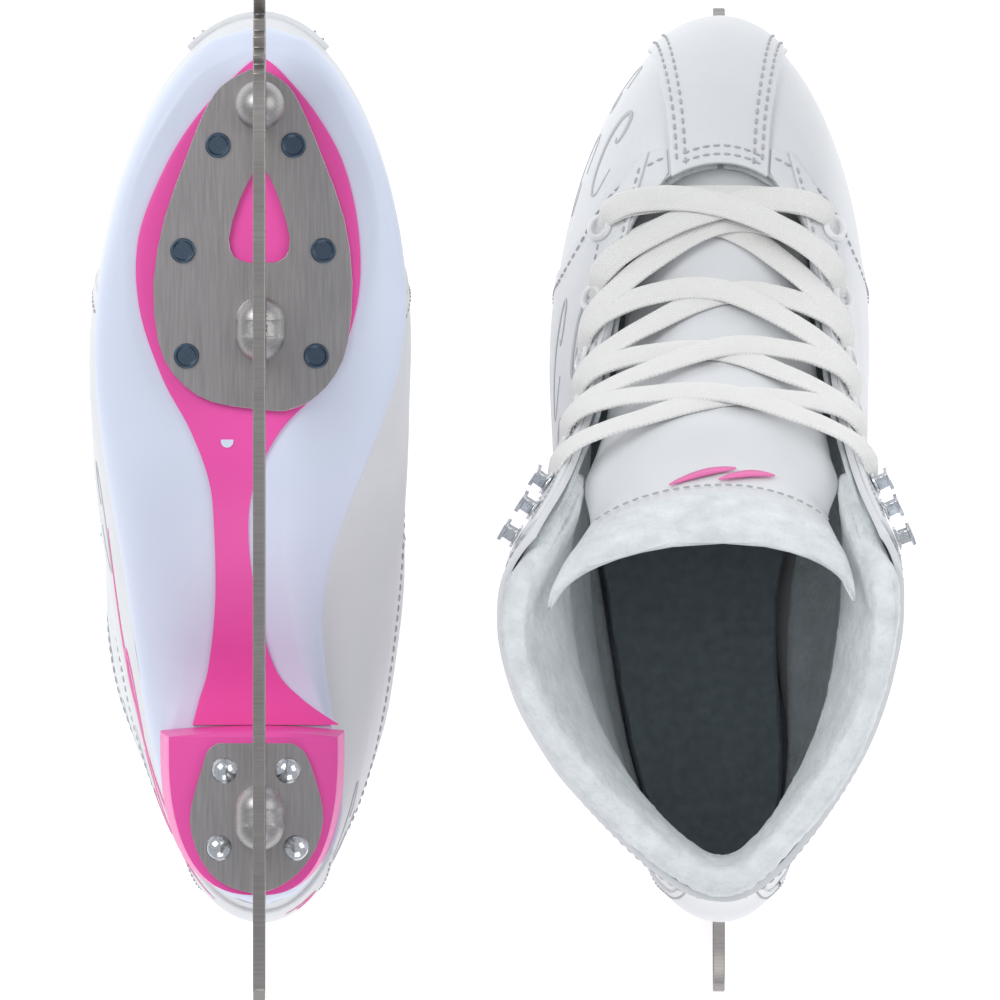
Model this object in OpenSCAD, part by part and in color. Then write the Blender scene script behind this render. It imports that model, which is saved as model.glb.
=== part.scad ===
// A pair of ice skates. The left skate stands on its blade and the right one
// lies upside down on its collar. Each skate is modelled upright, as a right
// skate: x = 0 is the plane of the blade and +x the outer side of the foot,
// +y runs towards the toe, and z = 0 is the running edge of the blade.

/* [Layout] */
// Distance of the standing skate's blade from the origin
left_x = 64.45; // [58:0.05:90]
// Distance of the upside-down skate's blade from the origin
right_x = 67.2; // [58:0.05:90]
// Width of the standing skate's collar, as a share of the full spread
left_spread = 1.0; // [0.8:0.02:1.05]
// Width of the upside-down skate's collar, as a share of the full spread
right_spread = 0.7; // [0.6:0.02:1.05]

/* [Blade] */
// Thickness of the blade steel
blade_t = 3.5; // [2.5:0.1:4.5]
// Underside of the sole plate above the running edge
sole_plate_z = 46; // [42:1:50]
// Underside of the heel plate above the running edge
heel_plate_z = 42; // [38:1:46]
// Thickness of both plates
plate_t = 2; // [1.5:0.1:3]
// Radius of the rivet shanks
rivet_r = 2; // [1.5:0.1:2.5]

/* [Boot] */
// Thickness of the leather of the upper
upper_t = 1.8; // [1.4:0.1:2.2]
// Width of a shoelace
lace_w = 8; // [6:0.5:10]

/* [Hidden] */
PARTS = ["blade", "sole_plate", "heel_plate", "toe_stanchion", "ball_stanchion",
    "heel_stanchion", "sole_rivets", "heel_rivets", "sole_insert", "heel_block",
    "outsole", "shank", "lasting_board", "insole", "lining", "toe_puff",
    "heel_counter", "vamp", "quarters", "toe_panel", "backstay", "eyestays",
    "collar_pad", "eyelets", "hooks", "tongue", "tongue_top", "lace"];

steel = "silver";
pink = "hotpink";
white = "white";
rest_z = 230.79;         // height of the running edge of the upside-down skate
stanchion_y = [112.3, 48.7, -90.3];
stanchion_l = [14, 18.4, 18.7];
stanchion_w = 14;
sole_rivet_xy = [[12, 101], [-9.5, 101], [22, 71], [-18, 71], [21, 41], [-16, 41]];
heel_rivet_xy = [[10.2, -77], [-8, -77], [11.7, -99], [-10.3, -99]];
insert_t = 1;
lace_t = 1.4;
heel_top_z = 77;

// Stations up the boot. Each is [front y, front z, heel y, heel z, half widths of
// the outer side at heel, waist, ball and toe, and the same of the inner side].
STATIONS = [
    [133, 58, -113.5, 87, 40, 37, 47, 50, 38, 17, 41, 46],
    [136.5, 68, -116.5, 96, 41, 40, 49, 51, 39, 28, 43, 47],
    [133, 83, -118, 105, 41, 42, 49, 51, 39, 34, 43, 47],
    [120, 95, -117.5, 115, 40, 42, 47, 49, 38, 37, 42, 46],
    [100, 102, -116.5, 125, 39, 41, 45, 50, 37, 37, 41, 47],
    [80, 109, -114.5, 136, 38, 40, 43, 53, 36, 37, 40, 50],
    [61, 124, -112.5, 150, 38, 40, 45, 57, 36, 37, 41, 53],
    [45, 145, -110.5, 167, 38, 42, 48, 61, 35, 37, 42, 56],
    [32, 171, -109.5, 187, 37, 46, 53, 67, 33, 38, 44, 60],
    [19, 197, -110.5, 205, 36, 49, 59, 73, 31, 39, 48, 64],
    [5, 222, -112, 222, 34, 51, 66, 84, 28, 40, 52, 72],
    [-5, 238, -113, 231, 34, 52, 69, 88, 28, 41, 54, 75]];
TOP = 10;                // station of the collar's rim
THROAT = 4.2;            // station where the lacing gap begins

// Point at t along a smooth curve through the entries of p.
function spline(p, t) =
    let (n = len(p) - 1, i = min(max(floor(t), 0), n - 1), f = t - i,
        a = p[max(i - 1, 0)], b = p[i], c = p[i + 1], d = p[min(i + 2, n)])
    0.5 * (2 * b + (c - a) * f + (2 * a - 5 * b + 4 * c - d) * f * f
        + (3 * b - 3 * c + d - a) * f * f * f);
function smooth(lo, hi, v) = let (f = min(max((v - lo) / (hi - lo), 0), 1)) f * f * (3 - 2 * f);
function mix(a, b, f) = a + (b - a) * f;
function unit(v) = v / max(norm(v), 1e-9);

// The boot's surface: a is the angle round from the toe to the heel over the
// outer side, t the station, and spread the width of the collar.
function skin(a, t, spread) =
    let (row = spline(STATIONS, t), s = (1 + cos(a)) / 2, outer = sin(a) >= 0,
        g = spline([for (k = [0:3]) row[(outer ? 4 : 8) + k]], 3 * s),
        open = 1 + (spread - 1) * smooth(6, 10, t),
        flat = 1 - smooth(0, 5, t))
    [sin(a) * g * open,
        mix(row[2], row[0], s),
        mix(row[3], row[1], mix(s, smooth(0.22, 0.62, s), flat))];
function inward(a, t, spread) =
    unit(cross(skin(a + 2, t, spread) - skin(a - 2, t, spread),
        skin(a, t + 0.15, spread) - skin(a, t - 0.15, spread)));
function at(a, t, d, spread) = skin(a, t, spread) - d * inward(a, t, spread);

// A closed sheet between two grids of points with the same rows and columns.
module sheet(outer, inner) {
    n = len(outer);
    m = len(outer[0]);
    points = concat([for (row = outer) each row], [for (row = inner) each row]);
    k = n * m;
    faces = concat(
        [for (i = [0:n - 2], j = [0:m - 2]) let (p = i * m + j)
            each [[p, p + 1, p + m + 1], [p, p + m + 1, p + m],
                [k + p, k + p + m + 1, k + p + 1], [k + p, k + p + m, k + p + m + 1]]],
        [for (j = [0:m - 2]) each quad(j + 1, j, k + j, k + j + 1)],
        [for (j = [0:m - 2]) let (p = (n - 1) * m + j) each quad(p, p + 1, k + p + 1, k + p)],
        [for (i = [0:n - 2]) each quad(i * m, i * m + m, k + i * m + m, k + i * m)],
        [for (i = [0:n - 2]) let (p = i * m + m - 1) each quad(p + m, p, k + p, k + p + m)]);
    polyhedron(points, faces);
}
function quad(a, b, c, d) = [[a, b, c], [a, c, d]];

// A solid skinned over rings whose points mirror each other front to back.
module loft(rings) {
    n = len(rings);
    m = len(rings[0]);
    faces = concat(
        [for (i = [0:n - 2], j = [0:m - 1]) let (q = (j + 1) % m)
            each quad(i * m + j, i * m + q, (i + 1) * m + q, (i + 1) * m + j)],
        [for (j = [0:m / 2 - 1]) each cap(0, j, m, true)],
        [for (j = [0:m / 2 - 1]) each cap((n - 1) * m, j, m, false)]);
    polyhedron([for (r = rings) each r], [for (f = faces) if (len(f) == 3) f]);
}
function cap(base, j, m, low) =
    let (a = base + j, b = base + j + 1, c = base + (m - j - 1) % m, d = base + (m - j) % m,
        two = j == 0 ? [[a, b, c]] : b == c ? [[a, b, d]] : [[a, b, c], [a, c, d]])
    low ? [for (f = two) [f[0], f[2], f[1]]] : two;

// A patch of the boot between stations t0 and t1 and depths d0 and d1. The
// angle runs from lo to hi, which are lists that follow the stations. A depth
// below 0 lies inside the boot's surface.
module patch(t0, t1, rows, cols, lo, hi, d0, d1, spread)
    sheet(patch_grid(t0, t1, rows, cols, lo, hi, d1, spread),
        patch_grid(t0, t1, rows, cols, lo, hi, d0, spread));
function patch_grid(t0, t1, rows, cols, lo, hi, d, spread) =
    [for (i = [0:rows]) let (f = i / rows, t = mix(t0, t1, f),
            a0 = spline(lo, f * (len(lo) - 1)), a1 = spline(hi, f * (len(hi) - 1)))
        [for (j = [0:cols]) at(mix(a0, a1, j / cols), t, d, spread)]];

function sole_z(y) = mix(49, heel_top_z, smooth(15, -58, y)) + 4 * smooth(105, 140, y);
// Outlines of the white rim's underside and of the pink insert, in rows of
// [y, outer half width, inner half width].
RIM = [[-110.5, 0, 0], [-104, 18, 17], [-90, 25, 23], [-70, 26.5, 22], [-55, 22, 15],
    [-30, 20, 8], [0, 20, 6], [25, 28, 12], [45, 36, 27], [70, 39, 33], [90, 36, 32],
    [108, 27, 25], [122, 16, 16], [129, 0, 0]];
INSERT = [[-64.2, 19.5, 22.5], [-57, 17.6, 12], [-48, 15, 4], [-30, 13, -1], [-10, 13.1, -3.4], [5, 14.5, -1.5],
    [20, 20, 6], [35, 28, 20], [55, 34.5, 27.5], [75, 34.6, 28.2], [95, 27, 24],
    [110, 17.5, 16], [122, 6, 6], [126, 1, 1]];
function outline(rows, count) =
    let (n = len(rows) - 1, up = [for (k = [0:count]) spline(rows, n * (1 - cos(180 * k / count)) / 2)])
    concat([for (k = [count:-1:0]) [up[k][1], up[k][0]]],
        [for (k = [1:count - 1]) [-up[k][2], up[k][0]]]);

// Steel blade with its legs and toe pick, in the plane of the length and height.
module blade()
    color(steel) rotate([90, 0, 90]) translate([0, 0, -blade_t / 2]) linear_extrude(blade_t)
        polygon(concat(
            [[-95, 0], [100, 0], [112, 0.6], [119, 2]],
            [for (k = [0:3]) each [[121 + 5.2 * k, 1.6 + 2.6 * k + k * k * 0.5],
                [123.5 + 4.8 * k, 6 + 3.2 * k + k * k * 0.4]]],
            [[142.5, 15], [142.2, 22], [137, 30], [126, 37], [119.5, 41], [118.6, sole_plate_z],
                [107, sole_plate_z], [105.5, 33], [101, 26], [92, 23]],
            [[68, 23], [60, 27], [56.5, 34], [56, sole_plate_z], [41.5, sole_plate_z],
                [40, 33], [34, 25], [24, 21.5], [-20, 20], [-66, 21], [-78, 25], [-83, 33],
                [-83.2, heel_plate_z], [-97.4, heel_plate_z], [-98, 33], [-103, 26],
                [-112, 22.5], [-130, 20], [-139, 17], [-142, 13], [-142.5, 8.5], [-139, 4.6],
                [-125, 1.6], [-110, 0.4]]));

module holes(places, r)
    for (p = places) translate([p[0], p[1], -50]) cylinder(r = r, h = 200, $fn = 24);

// Sole plate with its teardrop window.
module sole_plate()
    color(steel) difference() {
        translate([0, 0, sole_plate_z]) linear_extrude(plate_t) polygon(outline(
            [[25.3, -4, 7], [28, 14, 14], [35, 24, 21], [45, 29, 25], [62, 30.4, 26.3],
                [80, 27.3, 24], [97, 21.3, 18], [110, 16.2, 12.6], [118, 11, 8], [122.6, 3, 1]], 28));
        translate([0, 0, sole_plate_z - 1]) linear_extrude(plate_t + 2) polygon(outline(
            [[67.6, 3.5, 4], [69.5, 7.6, 7.4], [75, 8.9, 8.4], [85, 6, 5.6], [92, 2.6, 2.6],
                [95, 0.6, 0.2]], 14));
        holes(sole_rivet_xy, rivet_r + 0.05);
    }

module heel_plate()
    color(steel) difference() {
        translate([0, 0, heel_plate_z]) linear_extrude(plate_t) polygon(outline(
            [[-112, 2, 0], [-110, 9, 5.5], [-106, 14.4, 11], [-99, 18.4, 16], [-91, 20, 18],
                [-84, 18.8, 17], [-76, 16.4, 14.6], [-71.5, 15, 12.5], [-69.2, 12, 9]], 24));
        holes(heel_rivet_xy, rivet_r + 0.05);
    }

// A pressed tube that braces the blade's leg under its plate.
module stanchion(k, z_top) {
    len = stanchion_l[k];
    r = stanchion_w / 2;
    y = (len - stanchion_w) / 2;
    color(steel) translate([0, stanchion_y[k], 0]) difference() {
        union() for (s = [-1, 1]) translate([0, s * max(y, 0.02), 0]) {
            translate([0, 0, z_top - 12]) cylinder(r = r, h = 12, $fn = 40);
            translate([0, 0, z_top - 12]) sphere(r = r, $fn = 40);
        }
        translate([-blade_t / 2 - 0.05, -20, z_top - 40]) cube([blade_t + 0.1, 40, 40.1]);
    }
}

module rivets(places, z_head, head_r, dome, length)
    color(steel) for (p = places) translate([p[0], p[1], z_head]) {
        cylinder(r = rivet_r, h = length, $fn = 24);
        if (dome)
            intersection() {
                translate([0, 0, 1.9]) sphere(r = head_r + 0.4, $fn = 32);
                translate([0, 0, -3]) cylinder(r = head_r, h = 3, $fn = 32);
            }
        else
            translate([0, 0, -1]) difference() {
                cylinder(r = head_r, h = 1, $fn = 32);
                translate([0, 0, -0.5]) cylinder(r = head_r - 0.9, h = 1, $fn = 32);
            }
    }

module sole_insert() {
    flat = outline(INSERT, 18);
    color(pink) loft([for (dz = [-insert_t, -0.1]) [for (p = flat) [p[0], p[1], sole_z(p[1]) + dz]]]);
}

module outsole() {
    low = outline(RIM, 18);
    top = [for (k = [0:35]) at(10 * k, 0, 1.2, 1)];
    color(white) loft([
        [for (k = [0:35]) [low[k][0], low[k][1], sole_z(low[k][1])]],
        [for (k = [0:35]) mix([low[k][0], low[k][1], sole_z(low[k][1])], top[k], 0.7) + [0, 0, -1.5]],
        [for (p = top) p - [0, 0, 0.4]]]);
}

module heel_block() {
    back = [for (k = [0:16]) let (a = 180 * k / 16) [cos(a), sin(a)]];
    color(pink) loft([for (level = [[44, 25.5, 22.6, -66], [58, 26.5, 23.2, -65.5],
            [70, 27.6, 24, -65], [heel_top_z - 0.3, 28.2, 24.4, -64.3]])
        concat(
            [for (k = [0:8]) [0.5 + level[1] * k / 8, level[3] - 1.5 * k * k / 64, level[0]]],
            [for (k = [1:16]) let (a = 90 * k / 16)
                [0.5 + level[1] * pow(max(cos(a), 0), 0.75), -72 - 40.5 * pow(sin(a), 0.9), level[0]]],
            [for (k = [15:-1:0]) let (a = 90 * k / 16)
                [0.5 - level[2] * pow(max(cos(a), 0), 0.75), -72 - 40.5 * pow(sin(a), 0.9), level[0]]],
            [for (k = [8:-1:1]) [0.5 - level[2] * k / 8, level[3] - 1.5 * k * k / 64, level[0]]])]);
}

// Flat pieces inside the boot that follow the bottom of the foot.
function floor_ring(d, dz) = [for (k = [0:35]) at(10 * k, 0.25, d, 1) + [0, 0, dz]];
module lasting_board() color("tan") loft([floor_ring(-4.2, -0.6), floor_ring(-4.2, 1.2)]);
module insole() color("dimgray") loft([floor_ring(-5, 1.6), floor_ring(-5, 4.6)]);
module shank()
    color(steel) loft([for (dz = [0.2, 1.2]) [for (p = outline([[-70, 10, -4], [-50, 12, -4],
        [0, 12, -4], [20, 14, -4], [24, 12, -8]], 8))
            [p[0], p[1], mix(58, 87, smooth(39.3, -59.3, p[1])) + dz]]]);

module lining(s)
    color("whitesmoke") union() {
        patch(0.55, THROAT, 6, 40, [1, 1], [359, 359], -3.6, -2.4, s);
        patch(THROAT + 0.05, TOP - 0.1, 8, 26, [34, 41, 46], [326, 319, 314], -3.6, -2.4, s);
    }
module toe_puff(s) color("beige") patch(0.5, 3, 3, 14, [-62, -58], [62, 58], -1.6, -0.8, s);
module heel_counter(s) color("beige") patch(0.5, 5.5, 5, 14, [122, 132], [238, 228], -1.6, -0.8, s);
module vamp(s) color(white) patch(0, THROAT, 7, 24, [-68, -66, -62], [68, 66, 62], 0, upper_t, s);
module quarters(s)
    color(white) union() {
        patch(0, THROAT, 6, 22, [68.6, 66.6, 62.6], [291.4, 293.4, 297.4], 0, upper_t, s);
        patch(THROAT + 0.02, TOP, 9, 26, [30, 37, 38.5, 43], [330, 323, 321.5, 317], 0, upper_t, s);
    }
module toe_panel(s) color(white) patch(1, THROAT - 0.05, 6, 8, [-22, -19, -16], [22, 19, 16], 2.2, 3.2, s);
module backstay(s) color(white) patch(0.6, TOP - 0.6, 10, 6, [150, 162, 168], [210, 198, 192], 2.2, 3.2, s);
module eyestays(s)
    color(white) for (k = [[26, 37.5, 39.5, 43.5, 50, 54, 55, 58], [310, 306, 305, 302, 334, 322.5, 320.5, 316.5]])
        patch(3.3, TOP - 0.3, 9, 4, [k[0], k[1], k[2], k[3]], [k[4], k[5], k[6], k[7]], 2.2, 3.2, s);
module collar_pad(s)
    color("whitesmoke") union() {
        patch(8, TOP - 0.1, 4, 24, [49.5, 46.5], [310.5, 313.5], -9.5, -4.1, s);
        patch(TOP + 0.1, TOP + 0.45, 2, 24, [45, 45], [315, 315], -8, 1.2, s);
    }

// Lacing places, each [angle, station], from the toe up.
EYELETS = [[43, 3.65], [46, 4.6], [47, 5.6], [47, 6.6], [47, 7.6]];
HOOKS = [[47, 8.6], [49, 9.1], [51, 9.6]];
module place(a, t, d, s) {
    o = at(a, t, d, s);
    z = -inward(a, t, s);
    x = unit(cross([0, 1, 0.3], z));
    y = cross(z, x);
    multmatrix([[x[0], y[0], z[0], o[0]], [x[1], y[1], z[1], o[1]], [x[2], y[2], z[2], o[2]]]) children();
}
module each_side(places, d, s)
    for (p = places, side = [1, -1]) place(side * p[0], p[1], d, s) children();
module eyelets(s)
    color(white) each_side(EYELETS, 3.35, s) rotate_extrude($fn = 32)
        polygon([[2.2, 0], [4.2, 0], [4, 0.6], [3.2, 1.1], [2.5, 0.9]]);
module hooks(s)
    color(steel) each_side(HOOKS, 3.35, s) {
        cylinder(r = 3.6, h = 0.8, $fn = 32);
        translate([-1.6, -1.8, 0.7]) cube([3.2, 3.6, 3.2]);
        translate([-3.2, -2.5, 3.8]) cube([6.8, 5, 1.1]);
    }

module tongue(s)
    color(white) patch(THROAT - 0.4, 8.9, 8, 10, [-36, -46, -47], [36, 46, 47], -11, -4.6, s);
module tongue_top(s)
    color(white) patch(9, 10.4, 4, 14, [-49, -58, -60], [49, 58, 60], -16, -11.2, s);

// The flat lace rests on the eyestays at its ends and dips on to the tongue
// in the middle. DIP is that drop at even steps along one crossing, and bow the
// number of stations its middle lies further up. The lowest runs dip less.
DIP = [0, 0.5, 4, 7.2, 8.4, 8.6, 8.4, 7.2, 4, 0.5, 0];
function lace_point(side, k) = let (p = k < 5 ? EYELETS[k] : HOOKS[k - 5]) [side * p[0], p[1]];
function crossing(a, b, d, s, bow = 0, dip = 1) =
    [for (j = [0:10]) let (p = mix(a, b, j / 10))
        at(p[0], p[1] + bow * sin(18 * j), d - dip * DIP[j], s)];
module strand(points, w, h) {
    n = len(points);
    loft([for (i = [0:n - 1])
        let (along = unit(points[min(i + 1, n - 1)] - points[max(i - 1, 0)]),
            up = unit([0, 0.35, 1] - ([0, 0.35, 1] * along) * along), across = cross(along, up))
        [for (k = [0:7]) points[i] + across * (w / 2 * cos(45 * k)) + up * (h / 2 * sin(45 * k))]]);
}
module lace(s)
    color(white) {
        strand(crossing(lace_point(-1, 0), lace_point(1, 0), 5.6, s, 1, 0.65), lace_w, lace_t);
        for (k = [0:4], side = [-1, 1])
            strand(crossing(lace_point(side, k), lace_point(-side, k + 1), side < 0 ? 5.6 : 7.3, s,
                k == 0 ? 0.7 : 0, k == 0 ? 0.5 : 1), lace_w, lace_t);
    }

module part(name, s) {
    if (name == "blade") blade();
    if (name == "sole_plate") sole_plate();
    if (name == "heel_plate") heel_plate();
    if (name == "toe_stanchion") stanchion(0, sole_plate_z);
    if (name == "ball_stanchion") stanchion(1, sole_plate_z);
    if (name == "heel_stanchion") stanchion(2, heel_plate_z);
    if (name == "sole_rivets") rivets(sole_rivet_xy, sole_plate_z, 3.6, false, 12);
    if (name == "heel_rivets") rivets(heel_rivet_xy, heel_plate_z, 3.85, true, 18);
    if (name == "sole_insert") sole_insert();
    if (name == "heel_block") heel_block();
    if (name == "outsole") outsole();
    if (name == "shank") shank();
    if (name == "lasting_board") lasting_board();
    if (name == "insole") insole();
    if (name == "lining") lining(s);
    if (name == "toe_puff") toe_puff(s);
    if (name == "heel_counter") heel_counter(s);
    if (name == "vamp") vamp(s);
    if (name == "quarters") quarters(s);
    if (name == "toe_panel") toe_panel(s);
    if (name == "backstay") backstay(s);
    if (name == "eyestays") eyestays(s);
    if (name == "collar_pad") collar_pad(s);
    if (name == "eyelets") eyelets(s);
    if (name == "hooks") hooks(s);
    if (name == "tongue") tongue(s);
    if (name == "tongue_top") tongue_top(s);
    if (name == "lace") lace(s);
}

for (name = PARTS) {
    translate([left_x, 0, 0]) mirror([1, 0, 0]) part(name, left_spread);
    translate([-right_x, 0, rest_z]) rotate([0, 180, 0]) part(name, right_spread);
}
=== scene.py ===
# %% [markdown]
# A pair of white laced ice skates. One stands on its blade and the other lies
# upside down, so that its riveted sole plates can be seen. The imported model
# gives the frame and all hard metal. The boots are soft goods, so this script
# builds their leather, fleece, lace and moulded soles around the same last.

# %% Load the frame
import bmesh
import bpy
import math
from mathutils import Matrix, Vector, noise


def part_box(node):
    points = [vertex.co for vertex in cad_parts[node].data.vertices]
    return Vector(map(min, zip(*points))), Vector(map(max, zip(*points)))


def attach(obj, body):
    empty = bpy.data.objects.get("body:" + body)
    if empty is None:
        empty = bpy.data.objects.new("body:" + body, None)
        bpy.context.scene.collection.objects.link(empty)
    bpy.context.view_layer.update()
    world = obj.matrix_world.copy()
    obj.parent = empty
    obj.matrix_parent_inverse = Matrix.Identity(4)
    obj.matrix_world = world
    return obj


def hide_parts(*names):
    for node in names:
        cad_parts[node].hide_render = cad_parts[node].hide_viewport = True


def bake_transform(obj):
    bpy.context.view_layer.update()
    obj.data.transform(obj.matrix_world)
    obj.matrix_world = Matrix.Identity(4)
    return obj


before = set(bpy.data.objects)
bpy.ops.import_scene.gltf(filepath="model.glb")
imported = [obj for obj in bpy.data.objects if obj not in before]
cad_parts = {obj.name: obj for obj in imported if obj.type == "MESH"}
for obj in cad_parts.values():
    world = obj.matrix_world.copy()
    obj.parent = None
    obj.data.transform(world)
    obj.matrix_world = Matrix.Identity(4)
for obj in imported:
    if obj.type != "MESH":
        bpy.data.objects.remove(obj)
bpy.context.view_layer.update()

# %% [markdown]
# The skates are seen from straight above through a very long lens. From ten
# metres away a sole and a collar keep nearly the same scale, and the camera can
# still be moved round the pair without its pictures running out of depth.

# %% Camera
VIEW_WIDTH = 0.2857       # metres across the picture, at FOCUS_HEIGHT
CAMERA_HEIGHT = 10.0      # metres above FOCUS_HEIGHT
FOCUS_HEIGHT = 0.15
CAMERA_X = 0.0011
SENSOR = 36.0
camera_data = bpy.data.cameras.new("camera")
camera_data.sensor_width = SENSOR
camera_data.lens = SENSOR * CAMERA_HEIGHT / VIEW_WIDTH
camera_data.clip_end = 100.0
camera = bpy.data.objects.new("camera", camera_data)
camera.location = (CAMERA_X, 0.0, CAMERA_HEIGHT + FOCUS_HEIGHT)
bpy.context.collection.objects.link(camera)
bpy.context.scene.camera = camera

# %% [markdown]
# A white studio: a pale floor, an even sky, and broad lamps that leave only soft
# shading on the leather. Bare steel looks grey because it mirrors the dim sky.

# %% Floor and light
scene = bpy.context.scene
scene.view_settings.view_transform = "Standard"
scene.view_settings.look = "None"


def lamp(name, place, size, power, aim=(0, 0, 0.1)):
    """A square area lamp at place that points at aim."""
    data = bpy.data.lights.new(name, "AREA")
    data.size = size
    data.energy = power
    thing = bpy.data.objects.new(name, data)
    thing.location = place
    thing.rotation_euler = (Vector(aim) - Vector(place)).to_track_quat("-Z", "Y").to_euler()
    bpy.context.collection.objects.link(thing)


lamp("key", (-0.7, 0.6, 1.1), 0.7, 7.0)
lamp("fill", (0.8, 0.3, 0.9), 0.8, 3.2)
lamp("back", (0.1, -1.0, 0.8), 0.7, 3.0)

world = bpy.data.worlds.new("studio")
world.use_nodes = True
scene.world = world
sky = world.node_tree.nodes["Background"]
sky.inputs["Color"].default_value = (0.93, 0.95, 1.0, 1)
sky.inputs["Strength"].default_value = 0.52

FLOOR_HALF = 3.0
floor_mesh = bpy.data.meshes.new("floor")
bm = bmesh.new()
bmesh.ops.create_grid(bm, x_segments=1, y_segments=1, size=FLOOR_HALF)
bm.to_mesh(floor_mesh)
bm.free()
floor = bpy.data.objects.new("floor", floor_mesh)
bpy.context.collection.objects.link(floor)

# %% [markdown]
# Every finish starts from one shader. A small helper wires a pattern to its
# colour, roughness and bump, so that each material below is only its own recipe.

# %% Material helpers


class Finish:
    """A material under construction, with short ways to add nodes."""

    def __init__(self, name, color, roughness=0.5, metallic=0.0):
        self.material = bpy.data.materials.new(name)
        self.material.use_nodes = True
        self.tree = self.material.node_tree
        self.shader = self.tree.nodes["Principled BSDF"]
        self.shader.inputs["Base Color"].default_value = (*color, 1)
        self.shader.inputs["Roughness"].default_value = roughness
        self.shader.inputs["Metallic"].default_value = metallic
        self.color = color

    def node(self, kind, **values):
        made = self.tree.nodes.new(kind)
        for key, value in values.items():
            made.inputs[key].default_value = value
        return made

    def link(self, source, target):
        self.tree.links.new(source, target)

    def coords(self, stretch=(1, 1, 1)):
        """Object coordinates, stretched differently along each axis."""
        place = self.node("ShaderNodeTexCoord")
        mapping = self.node("ShaderNodeMapping", Scale=stretch)
        self.link(place.outputs["Object"], mapping.inputs["Vector"])
        return mapping.outputs["Vector"]

    def noise(self, scale, detail=3.0, stretch=(1, 1, 1)):
        made = self.node("ShaderNodeTexNoise", Scale=scale, Detail=detail)
        self.link(self.coords(stretch), made.inputs["Vector"])
        return made.outputs["Fac"]

    def cells(self, scale):
        made = self.node("ShaderNodeTexVoronoi", Scale=scale)
        self.link(self.coords(), made.inputs["Vector"])
        return made.outputs["Distance"]

    def ramp(self, source, low, high, start=0.3, end=0.7):
        """Maps a pattern to colours from low to high."""
        made = self.node("ShaderNodeValToRGB")
        made.color_ramp.elements[0].position = start
        made.color_ramp.elements[0].color = (*low, 1)
        made.color_ramp.elements[1].position = end
        made.color_ramp.elements[1].color = (*high, 1)
        self.link(source, made.inputs["Fac"])
        return made.outputs["Color"]

    def tint(self, source, low, high, start=0.3, end=0.7):
        self.link(self.ramp(source, low, high, start, end), self.shader.inputs["Base Color"])

    def gloss(self, source, low, high):
        made = self.node("ShaderNodeMapRange")
        made.inputs["To Min"].default_value = low
        made.inputs["To Max"].default_value = high
        self.link(source, made.inputs["Value"])
        self.link(made.outputs["Result"], self.shader.inputs["Roughness"])

    def bump(self, source, depth, strength=0.5):
        """Raises the surface by a pattern; a second call stacks on the first."""
        made = self.node("ShaderNodeBump", Strength=strength, Distance=depth)
        self.link(source, made.inputs["Height"])
        socket = self.shader.inputs["Normal"]
        if socket.is_linked:
            self.link(socket.links[0].from_socket, made.inputs["Normal"])
        self.link(made.outputs["Normal"], socket)

    def set(self, **values):
        for key, value in values.items():
            self.shader.inputs[key.replace("_", " ")].default_value = value
        return self.material


def shade(color, by):
    """A colour made darker or lighter by a factor."""
    return tuple(min(1.0, c * by) for c in color)


# %% [markdown]
# The white coated leather has a fine pebble grain and is slightly uneven in
# tone. Cells give the grain and two noises the creases and the tone.

# %% Leather, print and thread


def leather(name, color):
    made = Finish(name, color, 0.46)
    made.tint(made.noise(16, 4), shade(color, 0.94), shade(color, 1.04))
    made.gloss(made.noise(60, 3), 0.4, 0.55)
    made.bump(made.cells(1100), 0.00012, 0.35)
    made.bump(made.noise(90, 5), 0.0005, 0.25)
    return made.set(Coat_Weight=0.08, Coat_Roughness=0.4)


def matte(name, color, grain=900, depth=0.0001, roughness=0.6):
    made = Finish(name, color, roughness)
    made.tint(made.noise(grain / 12, 3), shade(color, 0.93), shade(color, 1.05))
    made.bump(made.noise(grain, 3), depth, 0.4)
    return made.set()


WHITE = (0.735, 0.75, 0.765)
PINK = (0.88, 0.09, 0.42)
white_leather = leather("white_leather", WHITE)
silver_print = matte("silver_print", (0.50, 0.52, 0.55), roughness=0.35)
pink_print = matte("pink_print", (0.86, 0.18, 0.46), roughness=0.45)
# The thread's grey is partly its own colour and partly painted shade: it stands in for the shadow in the
# stitch holes.
thread_and_hole_shade = matte("thread_and_hole_shade", (0.47, 0.48, 0.50), grain=2500)

# %% [markdown]
# Fleece is a soft pile: rough noise at two sizes for the tufts, and a sheen for
# the fibre ends that catch light at the edge. The insole is a flatter grey felt.

# %% Fleece, felt and lace


def pile(name, color, tuft, depth, sheen):
    made = Finish(name, color, 0.95)
    made.tint(made.noise(tuft / 3, 5), shade(color, 0.86), shade(color, 1.06))
    made.bump(made.noise(tuft, 6), depth, 0.8)
    made.bump(made.noise(tuft * 3, 4), depth * 0.4, 0.6)
    return made.set(Sheen_Weight=sheen, Sheen_Roughness=0.4)


fleece = pile("fleece", (0.76, 0.80, 0.815), 420, 0.0011, 0.3)
felt = pile("grey_felt", (0.25, 0.29, 0.315), 900, 0.0003, 0.15)


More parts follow.
